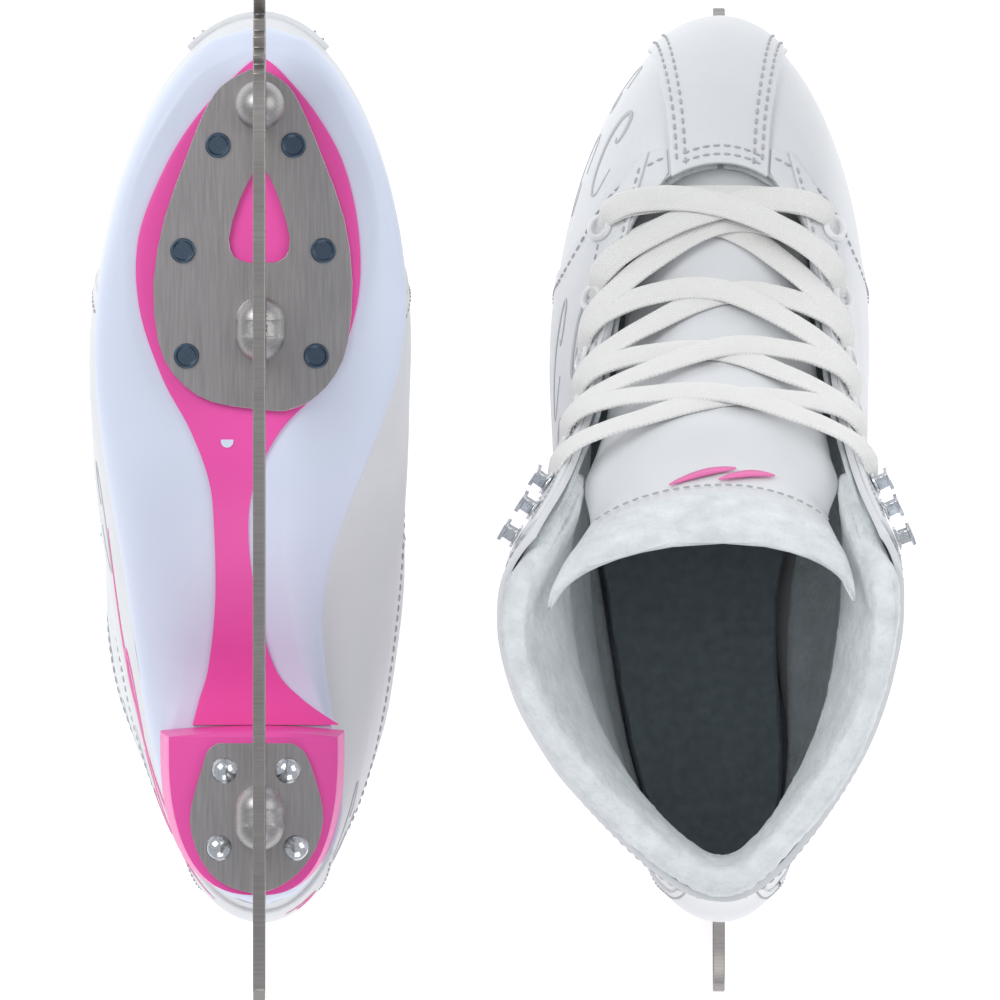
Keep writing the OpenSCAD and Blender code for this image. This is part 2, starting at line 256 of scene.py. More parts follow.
def woven(name, color):
    """A flat weave in millimetres of the ribbon's own UV map."""
    made = Finish(name, color, 0.85)
    bands = []
    for turn in (0.6, -0.6):
        place = made.node("ShaderNodeTexCoord")
        mapping = made.node("ShaderNodeMapping", Rotation=(0, 0, turn))
        wave = made.node("ShaderNodeTexWave", Scale=0.55, Distortion=0.6)
        made.link(place.outputs["UV"], mapping.inputs["Vector"])
        made.link(mapping.outputs["Vector"], wave.inputs["Vector"])
        bands.append(wave.outputs["Fac"])
    both = made.node("ShaderNodeMath")
    both.operation = "MULTIPLY"
    made.link(bands[0], both.inputs[0])
    made.link(bands[1], both.inputs[1])
    made.tint(both.outputs["Value"], shade(color, 0.9), shade(color, 1.03), 0.0, 0.5)
    made.bump(both.outputs["Value"], 0.00035, 0.7)
    made.bump(made.noise(1500, 4), 0.0001, 0.4)
    return made.set(Sheen_Weight=0.2)


lace_weave = woven("lace_weave", (0.95, 0.945, 0.92))

# %% [markdown]
# The sole is moulded in white and pink plastic. The plates are cold-rolled
# steel brushed along the foot, the blade is ground, and the braces and rivets
# are plated. A noise drawn out along the foot gives the brushing. The floor is
# a lit panel, so it glows a little and stays white close to the boots.

# %% Plastic and metal


def moulded(name, color, roughness):
    made = Finish(name, color, roughness)
    made.tint(made.noise(14, 3), shade(color, 0.96), shade(color, 1.03))
    made.bump(made.noise(1400, 2), 0.00006, 0.3)
    made.bump(made.noise(25, 2), 0.0006, 0.12)
    return made.set(Specular_IOR_Level=0.45)


def metal(name, color, roughness, grain=(1, 1, 1), depth=0.00005):
    made = Finish(name, color, roughness, 1.0)
    streaks = made.noise(1500, 5, grain)
    made.tint(streaks, shade(color, 0.86), shade(color, 1.08))
    made.gloss(made.noise(90, 4, grain), roughness * 0.75, roughness * 1.3)
    made.bump(streaks, depth, 0.5)
    made.bump(made.noise(45, 4), 0.0003, 0.06)
    return made.set()


white_plastic = moulded("white_plastic", (0.70, 0.76, 0.90), 0.42)
pink_plastic = moulded("pink_plastic", PINK, 0.4)
plate_steel = metal("plate_steel", (0.46, 0.44, 0.435), 0.33, (1, 0.05, 1), 0.00006)
blade_steel = metal("blade_steel", (0.34, 0.325, 0.31), 0.4, (0.05, 1, 1))
bright_steel = metal("bright_steel", (0.40, 0.39, 0.385), 0.42)
zinc = metal("zinc", (0.72, 0.75, 0.78), 0.16)
# The sole rivets are zinc. Their dark blue-grey colour is painted shade: it stands in for the shadow in
# their recesses.
dark_rivet = metal("dark_rivet", (0.10, 0.14, 0.19), 0.35)
white_enamel = matte("white_enamel", (0.78, 0.79, 0.80), roughness=0.3)
board = matte("fibre_board", (0.42, 0.32, 0.2))
studio_floor = matte("studio_floor", (0.97, 0.97, 0.97), grain=40, depth=0.00001)
glow = studio_floor.node_tree.nodes["Principled BSDF"].inputs
glow["Emission Color"].default_value = (1, 1, 1, 1)
glow["Emission Strength"].default_value = 0.5
floor.data.materials.append(studio_floor)

# %% [markdown]
# The boot is pulled over a last, so one function gives the last's surface. Each
# station is a curve round the foot, from the sole's edge to the collar. It holds
# the front and back of that curve and its half widths at heel, waist, ball and
# toe, on the outer and then the inner side, in millimetres.

# %% The last
STATIONS = [
    [133, 58, -113.5, 87, 40, 37, 47, 50, 38, 17, 41, 46],
    [136.5, 68, -116.5, 96, 41, 40, 49, 51, 39, 28, 43, 47],
    [133, 83, -118, 105, 41, 42, 49, 51, 39, 34, 43, 47],
    [120, 95, -117.5, 115, 40, 42, 47, 49, 38, 37, 42, 46],
    [100, 102, -116.5, 125, 39, 41, 45, 50, 37, 37, 41, 47],
    [80, 109, -114.5, 136, 38, 40, 43, 53, 36, 37, 40, 50],
    [61, 124, -112.5, 150, 38, 40, 45, 57, 36, 37, 41, 53],
    [45, 145, -110.5, 167, 38, 42, 48, 61, 35, 37, 42, 56],
    [32, 171, -109.5, 187, 37, 46, 53, 67, 33, 38, 44, 60],
    [19, 197, -110.5, 205, 36, 49, 59, 73, 31, 39, 48, 64],
    [5, 222, -112, 222, 34, 51, 66, 84, 28, 40, 52, 72],
    [-5, 238, -113, 231, 34, 52, 69, 88, 28, 41, 54, 75]]
RIM_STATION = 10
THROAT = 4.2


def spline(points, t):
    """A smooth curve through numbers or rows of numbers, at t along them."""
    last = len(points) - 1
    i = min(max(int(math.floor(t)), 0), last - 1)
    f = t - i
    a, b, c, d = (points[k] for k in (max(i - 1, 0), i, i + 1, min(i + 2, last)))

    def one(p, q, r, s):
        return 0.5 * (2 * q + (r - p) * f + (2 * p - 5 * q + 4 * r - s) * f * f
                      + (3 * q - 3 * r + s - p) * f ** 3)

    if isinstance(a, (int, float)):
        return one(a, b, c, d)
    return [one(*group) for group in zip(a, b, c, d)]


def smooth(low, high, value):
    f = min(max((value - low) / (high - low), 0.0), 1.0)
    return f * f * (3 - 2 * f)


def mix(a, b, f):
    return a + (b - a) * f


def last_point(angle, station, spread):
    """Angle runs from the toe round the outer side; spread opens the collar."""
    row = spline(STATIONS, station)
    turn = math.radians(angle)
    s = (1 + math.cos(turn)) / 2
    first = 4 if math.sin(turn) >= 0 else 8
    half = spline(row[first:first + 4], 3 * s)
    opening = 1 + (spread - 1) * smooth(6, 10, station)
    flat = 1 - smooth(0, 5, station)
    return Vector((math.sin(turn) * half * opening, mix(row[2], row[0], s),
                   mix(row[3], row[1], mix(s, smooth(0.22, 0.62, s), flat))))


def inward(angle, station, spread):
    round_it = last_point(angle + 2, station, spread) - last_point(angle - 2, station, spread)
    up_it = last_point(angle, station + 0.15, spread) - last_point(angle, station - 0.15, spread)
    return round_it.cross(up_it).normalized()


def on_last(angle, station, depth, spread):
    return last_point(angle, station, spread) - depth * inward(angle, station, spread)


def along(pairs, t):
    """Looks a value up in [[t, value], ...] with straight lines between."""
    for (t0, v0), (t1, v1) in zip(pairs, pairs[1:]):
        if t <= t1:
            return mix(v0, v1, max(0.0, (t - t0) / (t1 - t0)))
    return pairs[-1][1]


# %% [markdown]
# Each skate is built as a right skate standing up, in millimetres, and then
# placed by one matrix: mirrored for the left one, turned over for the right one.
# The blades of the frame say where each one goes.

# %% Placing the two skates
MM = 0.001


class Skate:
    """One of the two skates: its name, its collar's spread and its place."""

    def __init__(self, side, spread):
        self.side = side
        self.spread = spread
        low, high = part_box(side + "_blade")
        x = (low.x + high.x) / 2
        up = side == "left"
        self.mirrored = up
        self.body = side + "_skate"
        self.flap = side + "_tongue_flap"
        self.matrix = Matrix(((-MM, 0, 0, x), (0, MM, 0, 0),
                              (0, 0, MM if up else -MM, 0 if up else high.z), (0, 0, 0, 1)))

    def at(self, angle, station, depth):
        return on_last(angle, station, depth, self.spread)

    def normal(self, angle, station):
        return -inward(angle, station, self.spread)


SKATES = [Skate("left", 1.0), Skate("right", 0.7)]


def finish_piece(skate, name, bm, materials, slot, nodes=(), faces_out=False, shade_smooth=True,
                 body=None):
    """Places a mesh built in millimetres, hangs it on a body unless that is left for later, and hides the
    frame's parts that it replaces.

    Grids laid on the last come out facing inwards; faces_out says a mesh doesn't.
    """
    bmesh.ops.transform(bm, matrix=skate.matrix, verts=bm.verts)
    if skate.mirrored == faces_out:
        bmesh.ops.reverse_faces(bm, faces=bm.faces)
    for face in bm.faces:
        face.smooth = shade_smooth
    mesh = bpy.data.meshes.new(skate.side + "_" + name)
    bm.to_mesh(mesh)
    bm.free()
    piece = bpy.data.objects.new(mesh.name, mesh)
    bpy.context.collection.objects.link(piece)
    for material in materials:
        mesh.materials.append(material)
    if body != "later":
        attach(piece, body or skate.body)
    if nodes:
        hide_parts(*[skate.side + "_" + n for n in nodes])
    print(piece.name, len(mesh.polygons), "faces")
    return piece


def thicken(piece, thickness, edge=0.0004, segments=2):
    """Gives a sheet its thickness, inwards, and softens its cut edge."""
    wall = piece.modifiers.new("wall", "SOLIDIFY")
    wall.thickness = thickness * MM
    wall.offset = -1
    soften(piece, edge, segments)


def soften(piece, width, segments=2, angle=50):
    edge = piece.modifiers.new("edge", "BEVEL")
    edge.width = width
    edge.segments = segments
    edge.limit_method = "ANGLE"
    edge.angle_limit = math.radians(angle)
    edge.harden_normals = False


def draped(columns, rows, where, into=None):
    """A grid whose points u, v from 0 to 1 are moved to where(u, v)."""
    bm = into or bmesh.new()
    uv = bm.loops.layers.uv.verify()
    grid = bmesh.ops.create_grid(bm, x_segments=columns, y_segments=rows, size=0.5, calc_uvs=True)
    for vert in grid["verts"]:
        vert.co = where(vert.co.x + 0.5, vert.co.y + 0.5)
    return bm, uv


# %% [markdown]
# The upper is cut from flat leather. The vamp covers the toes and lies under
# the quarters, whose front edges curve in to the toe panel. Each is a grid laid
# on the last and thickened inwards, so cut edges and overlaps are real steps.

# %% Vamp and quarters
QUARTER_FRONT = [[0, 68], [1, 66], [2, 62], [2.8, 52], [3.2, 40], [3.5, 28], [3.7, 18],
                 [4.15, 17], [4.3, 30], [5, 34], [6.4, 37.5], [8.2, 38.5], [10, 43]]


def sheet_on_last(skate, low, high, t0, t1, columns, rows, depth, into=None):
    """A grid between two edges; low and high give the angle at a station."""
    def where(u, v):
        t = mix(t0, t1, v)
        return skate.at(mix(low(t), high(t), u), t, depth)
    return draped(columns, rows, where, into)[0]


def crease(angle, station):
    """Leather is never quite flat: a few tenths of a millimetre of waviness."""
    return 0.35 * noise.noise(Vector((angle / 14, station * 0.9, 3.1)))


for skate in SKATES:
    vamp = sheet_on_last(skate, lambda t: -76, lambda t: 76, 0, 4.15, 60, 40, 1.5)
    piece = finish_piece(skate, "vamp_leather", vamp, [white_leather], "white_leather", ["vamp"])
    thicken(piece, 1.4)

    def quarter(u, v, skate=skate):
        t = 10 * v
        low = along(QUARTER_FRONT, t)
        angle = mix(low, 360 - low, u)
        return skate.at(angle, t, 2.1 + crease(angle, t))
    shell, _ = draped(150, 110, quarter)
    piece = finish_piece(skate, "quarter_leather", shell, [white_leather], "white_leather", ["quarters"])
    thicken(piece, 2.0)

# %% [markdown]
# Over them are sewn the toe panel, the backstay and the two eyestays. They are
# thinner leather, so their edges stand about a millimetre proud.

# %% Overlays
PANEL_HALF = [[0.9, 22], [2.6, 19], [4.2, 16]]
BACK_HALF = [[0.6, 30], [4, 19], [9.4, 12]]
STAY_FROM = 3.55
STAY_INNER = [[3.55, 24], [4.2, 30], [5, 34.3], [6.4, 37.8], [8.2, 39], [9.7, 42.5]]
STAY_OUTER = [[3.55, 40], [3.9, 48], [4.6, 52], [6, 54], [9.7, 58]]

for skate in SKATES:
    panel = sheet_on_last(skate, lambda t: -along(PANEL_HALF, t), lambda t: along(PANEL_HALF, t),
                          0.9, 4.2, 24, 40, 3.1)
    piece = finish_piece(skate, "toe_panel_leather", panel, [white_leather], "white_leather", ["toe_panel"])
    thicken(piece, 1.9)
    stay = sheet_on_last(skate, lambda t: 180 - along(BACK_HALF, t), lambda t: 180 + along(BACK_HALF, t),
                         0.6, 9.4, 20, 60, 3.1)
    piece = finish_piece(skate, "backstay_leather", stay, [white_leather], "white_leather", ["backstay"])
    thicken(piece, 1.2)
    stays = bmesh.new()
    sheet_on_last(skate, lambda t: along(STAY_INNER, t), lambda t: along(STAY_OUTER, t),
                  STAY_FROM, 9.7, 12, 70, 3.1, stays)
    sheet_on_last(skate, lambda t: 360 - along(STAY_OUTER, t), lambda t: 360 - along(STAY_INNER, t),
                  STAY_FROM, 9.7, 12, 70, 3.1, stays)
    piece = finish_piece(skate, "eyestay_leather", stays, [white_leather], "white_leather", ["eyestays"])
    thicken(piece, 1.2)

# %% [markdown]
# Seams are what make leather look sewn. A stitch is one small thread bead, a
# flattened icosphere, set at even steps along a seam and turned with it. All the
# stitches of a skate are one piece, because they are one finish.

# %% Stitching


def seam(skate, points, depth, gap=3.0, length=1.15, into=None):
    """Beads along a smooth curve through [angle, station] points."""
    count = 40 * (len(points) - 1)
    path = [spline(points, k * (len(points) - 1) / count) for k in range(count + 1)]
    places = [skate.at(a, t, depth) for a, t in path]
    walked = gap / 2
    for k in range(count):
        step = places[k + 1] - places[k]
        while walked < step.length:
            middle = places[k] + step.normalized() * walked
            out = skate.normal(*path[k])
            side = out.cross(step).normalized()
            turn = Matrix((step.normalized(), side, out)).transposed().to_4x4()
            size = Matrix.Diagonal((length, 0.42, 0.4, 1))
            bmesh.ops.create_icosphere(into, subdivisions=1, radius=1,
                                       matrix=Matrix.Translation(middle) @ turn @ size)
            walked += gap
        walked -= step.length


def edge_seam(table, inset, t0, t1, sign=1):
    """The points of a seam that follows an edge table, inset by some degrees."""
    return [[sign * (along(table, t) + inset), t] for t in
            [mix(t0, t1, k / 8) for k in range(9)]]


for skate in SKATES:
    beads = bmesh.new()
    for sign in (1, -1):
        for inset in (-2.2, -5.0):
            seam(skate, edge_seam(PANEL_HALF, inset, 1.0, 4.1, sign), 3.3, into=beads)
        arc = [[sign * a, t] for a, t in
               [[18.5, 3.84], [29, 3.66], [41, 3.36], [53.5, 2.95], [63, 2.2], [67.5, 1.2], [70, 0.4]]]
        seam(skate, arc, 2.25, into=beads)
        seam(skate, edge_seam(STAY_INNER, 2.2, 3.65, 9.6, sign), 3.2, into=beads)
        seam(skate, edge_seam(STAY_OUTER, -2.0, 3.75, 9.6, sign), 3.2, into=beads)
        seam(skate, [[180 + sign * (along(BACK_HALF, t) - 2.2), t] for t in
                     (0.8, 2.5, 4.5, 6.5, 8.5, 9.3)], 3.2, into=beads)
        seam(skate, [[sign * a, 9.82] for a in (46, 60, 90, 120, 150, 164)], 2.3, into=beads)
        seam(skate, [[sign * a, t] for a, t in
                     [[57, 5.0], [68, 4.9], [90, 4.4], [112, 4.6], [140, 5.6], [156, 6.2]]], 2.3, into=beads)
    for t in (4.08, 3.96):
        seam(skate, [[a, t] for a in (-14, -5, 5, 14)], 3.3, into=beads)
    finish_piece(skate, "stitches", beads, [thread_and_hole_shade], "lace_cotton", faces_out=True)

# %% [markdown]
# The side of the boot carries a faint silver and pink ornament. It is printed,
# so it has no real thickness. Plain flourishes are drawn as narrow ribbons that
# swell and taper like a brush stroke, lying a hair above the leather.

# %% Printed flourishes


INK_LIFT = 0.14          # millimetres above the leather


def leather_top(angle, station):
    """Depth of the outermost leather at a place on the last."""
    a = abs((angle + 180) % 360 - 180)
    panel = 0.9 < station < 4.2 and a < along(PANEL_HALF, station)
    stay = STAY_FROM < station < 9.7 and along(STAY_INNER, station) < a < along(STAY_OUTER, station)
    back = 0.6 < station < 9.4 and a > 180 - along(BACK_HALF, station)
    if panel or stay or back:
        return 3.1
    if a < along(QUARTER_FRONT, station):
        return 1.5
    return 2.1 + crease(angle % 360, station)


def stroke(skate, points, width, bm, depth=None):
    """A brush stroke through [angle, station] points, widest in the middle."""
    last = len(points) - 1

    def place(v):
        a, t = spline(points, min(max(v, 0), 1) * last)
        return a, t, leather_top(a, t) + INK_LIFT if depth is None else depth

    def where(u, v):
        a, t, d = place(v)
        middle = skate.at(a, t, d)
        step = skate.at(*place(v + 0.01)[:2], d) - skate.at(*place(v - 0.01)[:2], d)
        across = skate.normal(a, t).cross(step).normalized()
        return middle + across * (u - 0.5) * width * (0.15 + 0.85 * math.sin(math.pi * v))
    draped(2, 12 * last, where, bm)


def flourish(a, t, size, turns=1.25, lean=1.0):
    """An open spiral with a tail, in angle and station."""
    points = []
    for k in range(12):
        f = k / 11
        r = size * (0.25 + 0.75 * f)
        swing = 2 * math.pi * turns * f
        across = a + lean * (r * 1.7 * math.cos(swing) + size * f)
        points.append([across, t + 0.055 * r * math.sin(swing)])
    return points


for skate in SKATES:
    silver = bmesh.new()
    pink = bmesh.new()
    for a, t, size, lean in ((33, 2.6, 6, 1), (52, 1.7, 5, -1), (34, 1.6, 4, -1), (66, 2.9, 6, 1),
                             (62, 4.2, 5, -1), (80, 3.6, 7, 1), (64, 6.0, 6, 1), (104, 4.4, 8, -1),
                             (128, 2.6, 7, 1), (150, 3.9, 6, -1), (78, 7.6, 8, 1), (112, 7.4, 9, 1),
                             (92, 1.4, 5, 1), (150, 8.2, 6, -1), (205, 3.0, 7, 1), (222, 1.8, 6, -1),
                             (171, 9.0, 4, 1), (188, 8.2, 4, -1)):
        stroke(skate, flourish(a, t, size, 1.25, lean), 1.5, silver)
    for a, t, size, lean in ((140, 1.7, 7, -1), (118, 1.3, 6, 1), (196, 1.5, 5, -1)):
        stroke(skate, flourish(a, t, size, 0.8, lean), 2.2, pink)
    stroke(skate, [[98, 1.0], [112, 1.5], [128, 1.15], [146, 0.8], [164, 1.1]], 2.4, pink)
    for bm, name, material, slot in ((silver, "silver_flourishes", silver_print, "white_leather"),
                                     (pink, "pink_flourishes", pink_print, "pink_plastic")):
        piece = finish_piece(skate, name, bm, [material], slot)
        piece.modifiers.new("ink", "SOLIDIFY").thickness = 0.00015

# %% [markdown]
# The collar is a fat roll of foam in fleece, caught between the leather's edge
# and the lining. Its cross section is a rounded box in station and depth, swept
# round the ankle, and it swells and dips a little where the foam is uneven.

# %% Collar roll and lining


def rounded(angle, power=0.75):
    """A point on a rounded box of half size 1."""
    c, s = math.cos(angle), math.sin(angle)
    return math.copysign(abs(c) ** power, c), math.copysign(abs(s) ** power, s)


def tuft(point, height, size):
    """Small lumps of pile, in millimetres, the same on each run."""
    return height * noise.noise(Vector(point) / size)


def close_ends(bm):
    """Closes a swept tube: joins its seam, then fills the two small ends."""
    bmesh.ops.remove_doubles(bm, verts=bm.verts, dist=0.02)
    bmesh.ops.holes_fill(bm, edges=[e for e in bm.edges if e.is_boundary], sides=0)


COLLAR_TURN = 44.5
LINING_FRONT = [[4.2, 34], [7, 41], [9.4, 46]]
for skate in SKATES:
    def roll(u, v, skate=skate):
        near_end = min(1.0, min(v, 1 - v) / 0.045)
        size = 0.35 + 0.65 * math.sqrt(1 - (1 - near_end) ** 2)
        up, out = rounded(2 * math.pi * u)
        angle = mix(COLLAR_TURN, 360 - COLLAR_TURN, v)
        lump = 1 + 0.06 * noise.noise(Vector((angle / 20, up * 2, out * 2)))
        station = 9.22 + 1.28 * up * (0.6 + 0.4 * size) + 0.05 * math.sin(angle / 9)
        over_edge = 1.6 * smooth(9.95, 10.2, station) if out > 0 else 0
        point = skate.at(angle, min(station, 10.44), -4.8 + (4.6 * size * lump + over_edge) * out)
        return point + skate.normal(angle, 9.2) * tuft(point, 0.5, 2.2)
    collar, _ = draped(44, 190, roll)
    close_ends(collar)
    bmesh.ops.recalc_face_normals(collar, faces=collar.faces)
    piece = finish_piece(skate, "collar_fleece", collar, [fleece], "fleece", ["collar_pad"],
                         faces_out=True)

    walls = bmesh.new()
    sheet_on_last(skate, lambda t: 1, lambda t: 359, 0.55, THROAT, 120, 24, -1.9, walls)
    sheet_on_last(skate, lambda t: along(LINING_FRONT, t), lambda t: 360 - along(LINING_FRONT, t),
                  THROAT, 9.4, 100, 40, -1.9, walls)
    for vert in walls.verts:
        vert.co += vert.co.normalized() * tuft(vert.co, 0.4, 2.5)
    piece = finish_piece(skate, "lining_fleece", walls, [fleece], "fleece", ["lining"])
    thicken(piece, 1.4, 0.0002, 1)

# %% [markdown]
# The tongue is one sewn piece: padded leather in front, fleece behind and over
# its top edge. It bends above the lacing and is one closed form.

# %% Tongue
TONGUE_FROM = 3.8
TONGUE_HALF = [[3.8, 36], [6.3, 45.5], [8.9, 47], [9, 49], [9.7, 58], [10.4, 60]]
FOLD = (8.2, 9.0)
LEATHER_TOP = 0.86       # share of the tongue's height that is leather in front
TONGUE_TO = 10.43
MARK_DEPTH = -10.6


def tongue_depths(t):
    """Depth of the tongue's front and back face at a station."""
    f = smooth(*FOLD, t)
    return mix(-4.6, -11.2, f), mix(-10.8, -16.0, f)


for skate in SKATES:
    def tongue(u, v, skate=skate):
        t = mix(TONGUE_FROM, TONGUE_TO, v)
        front, back = tongue_depths(t)
        across, out = rounded(2 * math.pi * u, 0.7)
        end = min(1.0, (1 - v) / 0.05)
        size = 0.3 + 0.7 * math.sqrt(1 - (1 - end) ** 2)
        roll_in = 0.9 + 0.25 * smooth(LEATHER_TOP, 0.93, v)
        depth = (front + back) / 2 + (front - back) / 2 * out * size * min(roll_in, 1.0)
        angle = along(TONGUE_HALF, t) * across
        wrinkle = 0.5 * noise.noise(Vector((angle / 22, t * 1.6, 8.0))) if out > 0 else 0
        return skate.at(angle, t, depth + wrinkle)
    pad, _ = draped(72, 120, tongue)
    close_ends(pad)
    bmesh.ops.recalc_face_normals(pad, faces=pad.faces)
    uv = pad.loops.layers.uv.verify()
    for face in pad.faces:
        u = sum(loop[uv].uv.x for loop in face.loops) / len(face.loops)
        v = sum(loop[uv].uv.y for loop in face.loops) / len(face.loops)
        face.material_index = 0 if 0.03 < u < 0.47 and v < LEATHER_TOP else 1
    piece = finish_piece(skate, "tongue_pad", pad, [white_leather, fleece], "white_leather",
                         ["tongue", "tongue_top"], faces_out=True, body="later")
    fold_low = skate.matrix @ skate.at(0, 8.75, -8)
    fold_high = skate.matrix @ skate.at(0, 9.3, -12)
    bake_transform(piece)

    mark = bmesh.new()
    for shift in (-7, 5):
        leaf = [[shift - 9, 9.02], [shift - 1, 9.1], [shift + 8, 9.26]]
        stroke(skate, leaf, 3.6, mark, MARK_DEPTH)
    piece = finish_piece(skate, "tongue_mark", mark, [pink_print], "pink_plastic", body=skate.flap)
    piece.modifiers.new("ink", "SOLIDIFY").thickness = 0.0002
    seams = bmesh.new()
    hem = mix(TONGUE_FROM, TONGUE_TO, LEATHER_TOP) - 0.12
    seam(skate, [[a, hem] for a in (-36, -18, 0, 18, 36)], MARK_DEPTH + 0.1, into=seams)
    finish_piece(skate, "tongue_stitches", seams, [thread_and_hole_shade], "lace_cotton", faces_out=True,
                 body=skate.flap)

# %% [markdown]
# The insole is grey felt, cut with a slightly notched edge so that it takes the
# curve of the arch. It is a grid across and along the foot, cupped at its rim.

# %% Insole
HEEL_Y = -113.5
TOE_Y = 133.0
FELT_INSET = 3.9         # from the last's surface
FELT_TOP = 4.4           # above the foot's bottom


def floor_point(skate, u, v, inset, lift, cup):
    """A point on the bottom of the foot; u runs across it and v from heel to toe."""
    s = (1 - math.cos(math.pi * mix(0.03, 0.97, v))) / 2
    turn = math.degrees(math.acos(2 * s - 1))
    outer = skate.at(turn, 0.25, -inset)
    inner = skate.at(-turn, 0.25, -inset)
    edge = abs(2 * u - 1)
    return inner.lerp(outer, u) + Vector((0, 0, lift + cup * edge ** 4))


for skate in SKATES:
    def sole_felt(u, v, skate=skate):
        point = floor_point(skate, u, v, FELT_INSET, FELT_TOP, 1.6)
        notch = 0.5 * abs(math.sin(v * 60)) if abs(2 * u - 1) > 0.97 else 0
        point.x += math.copysign(notch, 0.5 - u)
        return point + Vector((0, 0, tuft(point, 0.25, 6)))
    felt_sheet, _ = draped(40, 140, sole_felt)
    piece = finish_piece(skate, "insole_felt", felt_sheet, [felt], "grey_felt", ["insole"], faces_out=True)
    thicken(piece, 2.6)

# %% [markdown]
# A flat lace zigzags up the throat. Each crossing starts in an eyelet, climbs
# over the eyestay's edge, dips on to the tongue and climbs out again. It is a
# ribbon swept along that path, with a woven pattern in its own UV map. The
# lowest runs bow up the instep, because they pass over the end of the toe panel.

# %% Lace
EYELETS = [[43, 3.65], [46, 4.6], [47, 5.6], [47, 6.6], [47, 7.6], [47, 8.6]]
DIP = [0, 0.5, 4, 7.2, 8.4, 8.6, 8.4, 7.2, 4, 0.5, 0]
LACE_WIDTH = 7.6
LACE_DEPTH = 5.6         # above the last, where a run crosses the eyestay
LACE_SAG = 0.12          # stations that a slack run droops towards the toe
RUN_LENGTH = 78          # for the weave's scale along a run


def crossing(skate, start, end, over, bm, bow=0.0, dip=1.0):
    """One run of lace between two lacing places, over or under the other.

    Bow lifts its middle by some stations, and dip scales its drop on to the tongue.
    """
    def middle(f):
        angle, station = mix(start[0], end[0], f), mix(start[1], end[1], f)
        into_eyelet = 2.6 * (1 - smooth(0, 0.07, min(f, 1 - f)))
        arch = math.sin(math.pi * f)
        depth = LACE_DEPTH - dip * spline(DIP, 10 * f) - into_eyelet + over * arch ** 0.6
        return angle, station - (LACE_SAG - bow) * arch, depth

    def where(u, v):
        angle, station, depth = middle(v)
        here = skate.at(angle, station, depth)
        step = skate.at(*middle(min(v + 0.01, 1))) - skate.at(*middle(max(v - 0.01, 0)))
        out = skate.normal(angle, station)
        out = (out + 0.4 * Vector((0, 0.35, 1))).normalized()
        across = out.cross(step).normalized()
        width = LACE_WIDTH * (1 - 0.45 * (1 - smooth(0, 0.08, min(v, 1 - v))))
        crown = 0.35 * (1 - (2 * u - 1) ** 2)
        ripple = 0.25 * noise.noise(Vector((v * 9, u * 2, start[1] * 3)))
        return here + across * (u - 0.5) * width + across.cross(step).normalized() * -(crown + ripple)
    first = len(bm.faces)
    _, uv = draped(8, 70, where, bm)
    bm.faces.ensure_lookup_table()
    for face in bm.faces[first:]:
        for loop in face.loops:
            loop[uv].uv = (loop[uv].uv.x * LACE_WIDTH, loop[uv].uv.y * RUN_LENGTH)


for skate in SKATES:
    runs = bmesh.new()
    angle, station = EYELETS[0]
    crossing(skate, [-angle, station], [angle, station], 0.0, runs, bow=1.12, dip=0.65)
    for row, (low, high) in enumerate(zip(EYELETS, EYELETS[1:])):
        over = 1.6 if row % 2 else 0.0
        bow, dip = (0.82, 0.5) if row == 0 else (0.0, 1.0)
        crossing(skate, [low[0], low[1]], [-high[0], high[1]], 1.6 - over, runs, bow, dip)
        crossing(skate, [-low[0], low[1]], [high[0], high[1]], over, runs, bow, dip)
    piece = finish_piece(skate, "lace_runs", runs, [lace_weave], "lace_cotton", ["lace"])
    thicken(piece, 1.1, 0.0003, 2)

# %% [markdown]
# The sole is one white moulding. Its underside is flat across the foot and rises
# from the ball to the heel, and its side flares out to the upper. A grid across
# and along the foot holds both: the outer strips of the grid fold up as walls.

# %% White sole
HEEL_TOP = 77.0
RIM = [[-110.5, 0, 0], [-104, 18, 17], [-90, 25, 23], [-70, 26.5, 22], [-55, 22, 15],
       [-30, 20, 8], [0, 20, 6], [25, 28, 12], [45, 36, 27], [70, 39, 33], [90, 36, 32],
       [108, 27, 25], [122, 16, 16], [129, 0, 0]]
INSERT = [[-64.2, 19.5, 22.5], [-57, 17.6, 12], [-48, 15, 4], [-30, 13, -1], [-10, 13.1, -3.4],
          [5, 14.5, -1.5], [20, 20, 6], [35, 28, 20], [55, 34.5, 27.5], [75, 34.6, 28.2],
          [95, 27, 24], [110, 17.5, 16], [122, 6, 6], [126, 1, 1]]


def sole_height(y):
    return mix(49, HEEL_TOP, smooth(15, -58, y)) + 4 * smooth(105, 140, y)


def outline_row(rows, v):
    """A row of an outline, closer together towards both ends."""
    return spline(rows, (len(rows) - 1) * (1 - math.cos(math.pi * v)) / 2)


